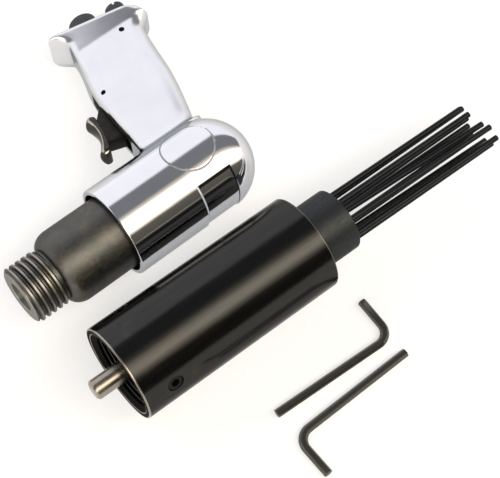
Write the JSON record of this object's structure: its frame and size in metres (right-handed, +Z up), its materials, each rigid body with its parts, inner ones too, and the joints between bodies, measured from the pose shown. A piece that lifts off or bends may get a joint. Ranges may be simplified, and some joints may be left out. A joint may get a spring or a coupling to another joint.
{
  "type": "needle scaler",
  "caption": "Pistol-grip air hammer lying on its side with its needle-scaler attachment beside it and the hex keys for its set screws.",
  "frame": {"origin": "on the floor under the middle of the set's bounding box", "axes": "X runs along the barrel from its nose to the rear, Y from the barrel to the grip's base, Z up"},
  "size_m": [0.2394, 0.273, 0.05],
  "materials": {
    "polished_aluminium": "polished mirror bright",
    "black_oxide_barrel": "black oxide, oiled",
    "black_housing": "gloss black oxide",
    "dark_needles": "hardened, black",
    "dark_keys": "black oxide",
    "grey_sleeve": "phosphated, dull",
    "dark_trigger": "cast, dark plated",
    "dark_fittings": "dark plated",
    "bright_steel": "ground",
    "dark_pins": "black",
    "spring_steel": "oiled",
    "bronze_bushes": "turned",
    "seal_rubber": "moulded"
  },
  "bodies": {
    "pistol": {"handle_body": "polished_aluminium", "barrel": "black_oxide_barrel", "barrel_o_ring": "seal_rubber", "valve_block": "bright_steel", "valve_cap": "bright_steel", "trigger_pin": "dark_pins", "throttle_bush": "bronze_bushes", "throttle_o_ring": "seal_rubber", "inlet_bush": "dark_fittings", "inlet_screen": "bronze_bushes", "regulator_pin": "dark_pins"},
    "trigger": {"trigger": "dark_trigger"},
    "throttle": {"throttle_valve": "bright_steel", "throttle_spring": "spring_steel"},
    "hammer": {"hammer_piston": "bright_steel"},
    "cycle_valve": {"cycle_valve": "bright_steel"},
    "regulator": {"regulator_screw": "dark_fittings", "regulator_o_ring": "seal_rubber"},
    "attachment": {"scaler_housing": "black_housing", "set_screws": "black_housing", "anvil_bush": "bronze_bushes", "snap_ring": "black_housing", "nose_sleeve": "grey_sleeve"},
    "anvil": {"anvil": "bright_steel"},
    "needle_holder": {"needle_holder": "bright_steel", "return_spring": "spring_steel"},
    "key_1": {"hex_key_1": "dark_keys"},
    "key_2": {"hex_key_2": "dark_keys"},
    "needle_01": {"needle_01": "dark_needles"},
    "needle_02": {"needle_02": "dark_needles"},
    "needle_03": {"needle_03": "dark_needles"},
    "needle_04": {"needle_04": "dark_needles"},
    "needle_05": {"needle_05": "dark_needles"},
    "needle_06": {"needle_06": "dark_needles"},
    "needle_07": {"needle_07": "dark_needles"},
    "needle_08": {"needle_08": "dark_needles"},
    "needle_09": {"needle_09": "dark_needles"},
    "needle_10": {"needle_10": "dark_needles"},
    "needle_11": {"needle_11": "dark_needles"},
    "needle_12": {"needle_12": "dark_needles"}
  },
  "joints": [
    {"name": "trigger_pull", "type": "hinge", "parent": "pistol", "child": "trigger", "pos_m": [-0.02001, 0.08092, 0.01783], "axis": [0, 0.0995, 0.995], "range_deg": [0, 12], "stiffness_Nm_per_rad": 0.5, "springref_deg": -2.86},
    {"name": "throttle_push", "type": "slide", "parent": "pistol", "child": "throttle", "axis": [0.9806, -0.195, 0.0195], "range_m": [0, 0.0035], "deforming": ["throttle_spring"]},
    {"name": "hammer_stroke", "type": "slide", "parent": "pistol", "child": "hammer", "axis": [-1, 0, 0], "range_m": [0, 0.0265]},
    {"name": "cycle_valve_lift", "type": "slide", "parent": "pistol", "child": "cycle_valve", "axis": [-1, 0, 0], "range_m": [0, 0.0014]},
    {"name": "regulator_turn", "type": "hinge", "parent": "pistol", "child": "regulator", "pos_m": [0.02032, 0.1208, 0.01384], "axis": [0.1959, 0.9758, -0.0975], "range_deg": [0, 270]},
    {"name": "attachment_lift", "type": "slide", "parent": "pistol", "child": "attachment", "axis": [0, 0, 1], "range_m": [0, 0.12]},
    {"name": "anvil_stroke", "type": "slide", "parent": "attachment", "child": "anvil", "axis": [0.9997, -0.0253, 0], "range_m": [0, 0.004]},
    {"name": "holder_stroke", "type": "slide", "parent": "attachment", "child": "needle_holder", "axis": [0.9997, -0.0253, 0], "range_m": [0, 0.006], "stiffness_N_per_m": 4000, "springref_m": -0.004, "deforming": ["return_spring"]},
    {"name": "key_1_lift", "type": "slide", "parent": "pistol", "child": "key_1", "axis": [0, 0, 1], "range_m": [0, 0.08]},
    {"name": "key_2_lift", "type": "slide", "parent": "pistol", "child": "key_2", "axis": [0, 0, 1], "range_m": [0, 0.08]},
    {"name": "needle_01_stroke", "type": "slide", "parent": "needle_holder", "child": "needle_01", "axis": [0.9986, -0.052, 0], "range_m": [-0.0095, 0.0005]},
    {"name": "needle_02_stroke", "type": "slide", "parent": "needle_holder", "child": "needle_02", "axis": [0.9993, -0.0363, 0], "range_m": [-0.0075, 0.0025]},
    {"name": "needle_03_stroke", "type": "slide", "parent": "needle_holder", "child": "needle_03", "axis": [0.9996, -0.0269, 0], "range_m": [-0.008, 0.002]},
    {"name": "needle_04_stroke", "type": "slide", "parent": "needle_holder", "child": "needle_04", "axis": [0.9992, -0.0394, 0], "range_m": [-0.002, 0.008]},
    {"name": "needle_05_stroke", "type": "slide", "parent": "needle_holder", "child": "needle_05", "axis": [0.9994, -0.0347, 0], "range_m": [-0.0005, 0.0095]},
    {"name": "needle_06_stroke", "type": "slide", "parent": "needle_holder", "child": "needle_06", "axis": [0.9986, -0.052, 0], "range_m": [-0.005, 0.005]},
    {"name": "needle_07_stroke", "type": "slide", "parent": "needle_holder", "child": "needle_07", "axis": [0.9992, -0.041, 0], "range_m": [-0.0075, 0.0025]},
    {"name": "needle_08_stroke", "type": "slide", "parent": "needle_holder", "child": "needle_08", "axis": [0.9993, -0.0363, 0], "range_m": [-0.008, 0.002]},
    {"name": "needle_09_stroke", "type": "slide", "parent": "needle_holder", "child": "needle_09", "axis": [0.9997, -0.0253, 0], "range_m": [-0.0055, 0.0045]},
    {"name": "needle_10_stroke", "type": "slide", "parent": "needle_holder", "child": "needle_10", "axis": [0.9976, -0.0692, 0], "range_m": [-0.0055, 0.0045]},
    {"name": "needle_11_stroke", "type": "slide", "parent": "needle_holder", "child": "needle_11", "axis": [0.9994, -0.0347, 0], "range_m": [-0.002, 0.008]},
    {"name": "needle_12_stroke", "type": "slide", "parent": "needle_holder", "child": "needle_12", "axis": [0.9995, -0.03, 0], "range_m": [-0.003, 0.007]}
  ],
  "couplings": [
    {"joint": "throttle_push", "follows": "trigger_pull", "m_per_rad": 0.0161}
  ]
}
